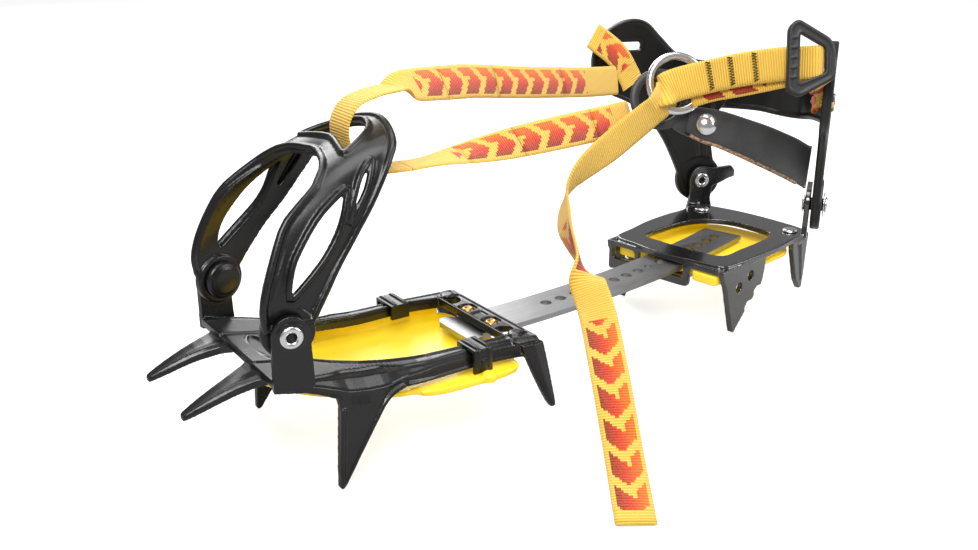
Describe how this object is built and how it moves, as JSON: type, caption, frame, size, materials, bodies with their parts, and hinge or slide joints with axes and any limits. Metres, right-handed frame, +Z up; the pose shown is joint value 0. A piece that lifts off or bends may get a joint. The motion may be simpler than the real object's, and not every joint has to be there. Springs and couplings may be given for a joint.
{
  "type": "strap-on crampon",
  "caption": "Strap-on crampon: pressed front and heel frames with teeth, sliding link bar, plastic toe and heel baskets, snow plates and ankle webbing.",
  "frame": {"origin": "middle of the front bridge's top face, where the boot sole rests", "axes": "+X from toe to heel, +Y to the side away from the loose strap end, +Z up out of the ground"},
  "size_m": [0.3796, 0.2124, 0.1587],
  "materials": {
    "coated_steel": "gloss black coating",
    "heel_steel": "semi-gloss dark grey",
    "bare_steel": "brushed along the bar",
    "bright_steel": "polished",
    "brass": "plain",
    "basket_plastic": "semi-gloss moulded",
    "buckle_plastic": "fine matt texture",
    "snow_plate_rubber": "smooth yellow",
    "webbing": "ribbed webbing with a printed red pattern",
    "ankle_band_fabric": "rubberised, with raw brown edges"
  },
  "bodies": {
    "front": {"front_frame": "coated_steel", "front_snow_plate": "snow_plate_rubber", "front_clip_near": "basket_plastic", "front_clip_far": "basket_plastic", "toe_rivet_near": "bright_steel", "toe_rivet_far": "bright_steel", "toe_washer_near": "bright_steel", "toe_washer_far": "bright_steel"},
    "toe_hood": {"toe_basket": "basket_plastic", "strap_toe_fold": "webbing"},
    "bar": {"link_bar": "bare_steel", "strap_upper": "webbing", "strap_lower": "webbing"},
    "heel": {"heel_frame": "heel_steel", "heel_snow_plate": "snow_plate_rubber", "heel_corner_rivet_near": "bright_steel", "heel_corner_rivet_far": "bright_steel", "heel_rivet_near": "bright_steel", "heel_rivet_far": "bright_steel", "heel_washer_near": "bright_steel", "heel_washer_far": "bright_steel", "lock_rivet": "brass"},
    "lock": {"lock_spring": "bare_steel", "lock_peg": "brass"},
    "ankle": {"heel_basket": "basket_plastic", "wing_clip": "bright_steel", "ankle_band": "ankle_band_fabric", "band_rivet": "bright_steel", "sewn_webbing": "webbing", "strap_end": "webbing", "strap_tail": "webbing"},
    "ring_plate": {"ring_plate": "buckle_plastic"},
    "silver_ring": {"silver_ring": "bright_steel"},
    "slider": {"slider_buckle": "buckle_plastic"}
  },
  "joints": [
    {"name": "toe_hood_pivot", "type": "hinge", "parent": "front", "child": "toe_hood", "pos_m": [-0.104, 0, 0.0288], "axis": [0, 1, 0], "range_deg": [-15, 20], "deforming": ["strap_upper", "strap_lower"]},
    {"name": "bar_flex", "type": "hinge", "parent": "front", "child": "bar", "pos_m": [0, -0.0042, -0.0052], "axis": [0, 1, 0], "range_deg": [-2, 3]},
    {"name": "length_adjust", "type": "hinge", "parent": "bar", "child": "heel", "pos_m": [0.016, 0.5958, -0.0047], "axis": [0, 0, 1], "range_deg": [-3.48, 0.87]},
    {"name": "lock_release", "type": "hinge", "parent": "heel", "child": "lock", "pos_m": [0.16074, 0.01168, -0.0147], "axis": [-0.164, 0.9865, 0], "range_deg": [-6, 0]},
    {"name": "heel_basket_pivot", "type": "hinge", "parent": "heel", "child": "ankle", "pos_m": [0.20345, 0.01878, 0.0163], "axis": [-0.164, 0.9865, 0], "range_deg": [-6, 6], "deforming": ["strap_tail"]},
    {"name": "ring_plate_swing", "type": "hinge", "parent": "ankle", "child": "ring_plate", "pos_m": [0.124, -0.015, 0.0703], "axis": [-0.4211, -0.8321, 0.3609], "range_deg": [-10, 12]},
    {"name": "silver_ring_spin", "type": "hinge", "parent": "ankle", "child": "silver_ring", "pos_m": [0.11288, -0.00508, 0.08962], "axis": [-0.4211, -0.8321, 0.3609], "continuous": true},
    {"name": "slider_tilt", "type": "hinge", "parent": "ankle", "child": "slider", "pos_m": [0.1466, -0.0536, 0.1045], "axis": [0.1862, 0.2328, 0.9545], "range_deg": [-8, 8]}
  ]
}
